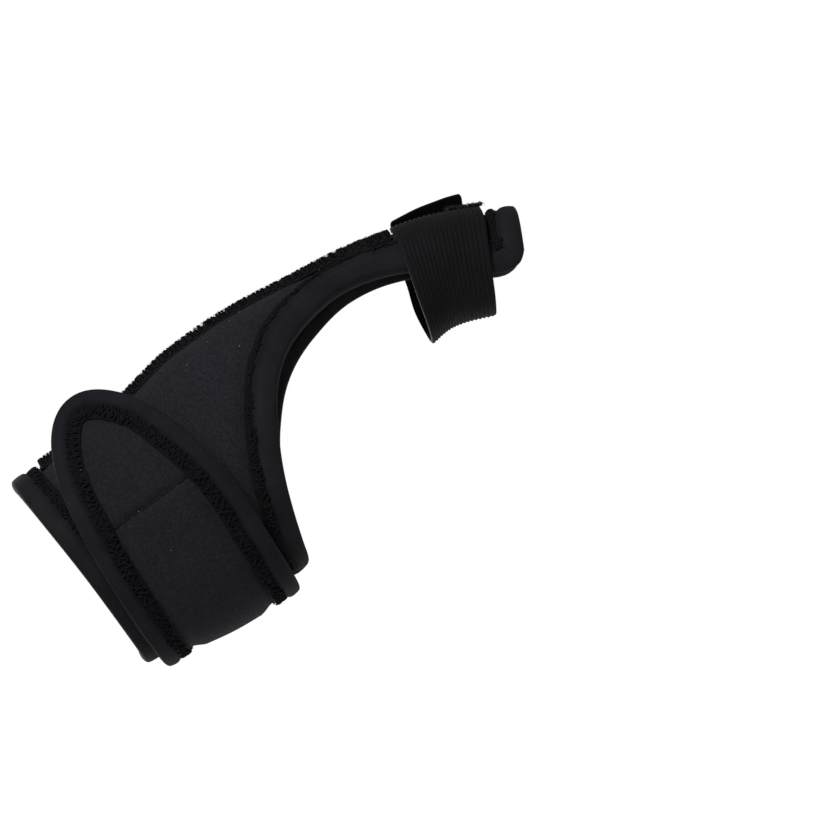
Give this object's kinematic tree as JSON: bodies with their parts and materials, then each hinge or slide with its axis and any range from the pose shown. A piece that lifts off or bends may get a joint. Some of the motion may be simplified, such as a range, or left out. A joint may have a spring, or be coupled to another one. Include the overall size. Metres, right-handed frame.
{
  "type": "thumb spica splint",
  "caption": "Soft right-hand wrap that closes round the wrist under a rounded strap and runs up the thumb side of the hand to a half sleeve held round the thumb by an elastic band",
  "frame": {"origin": "middle of the wrist hollow, halfway along the wrist strap, where the wearer's wrist holds the splint", "axes": "+X along the forearm towards the fingers, +Z towards the thumb side, -Y out of the back of the hand"},
  "size_m": [0.1828, 0.0686, 0.0906],
  "materials": {
    "neoprene_cloth": "matt black knitted cover over a foam core",
    "binding_tape": "matt black folded tape, zigzag stitched at its inner edge",
    "elastic": "black woven elastic with ribs round the thumb",
    "hook_tape": "black hook tape with small stiff hooks"
  },
  "bodies": {
    "root": {"wrap": "neoprene_cloth", "wrap_binding": "binding_tape", "wrist_strap": "neoprene_cloth", "strap_binding": "binding_tape", "seam_tape": "binding_tape", "hook_patch": "hook_tape", "thumb_band": "elastic", "thumb_tab": "hook_tape"}
  },
  "joints": []
}
